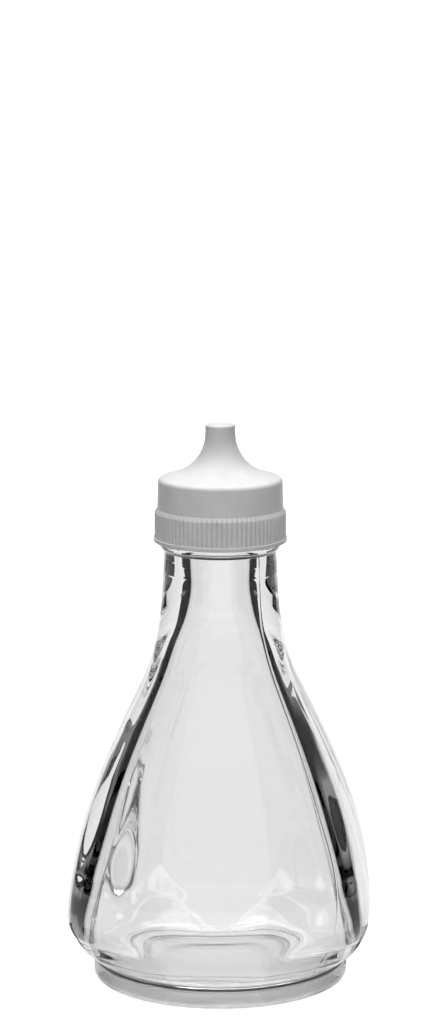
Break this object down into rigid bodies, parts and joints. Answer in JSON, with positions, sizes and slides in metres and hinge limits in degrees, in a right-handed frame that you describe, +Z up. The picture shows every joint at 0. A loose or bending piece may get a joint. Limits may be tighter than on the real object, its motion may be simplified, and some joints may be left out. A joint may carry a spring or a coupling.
{
  "type": "vinegar bottle",
  "caption": "Small clear glass vinegar bottle: pear-shaped body with flat panels on a ring foot, and a white plastic screw cap with a trumpet-shaped pouring spout.",
  "frame": {"origin": "middle of the foot's underside, on the surface that the bottle stands on", "axes": "+Z up along the bottle's axis; the flat panels face along X and Y, with the front panel facing -Y"},
  "size_m": [0.0716, 0.0716, 0.133],
  "materials": {
    "glass": "clear pressed soda-lime glass, fire-polished, slightly wavy",
    "cap_plastic": "satin white moulded plastic"
  },
  "bodies": {
    "root": {"bottle": "glass", "cap": "cap_plastic"}
  },
  "joints": []
}
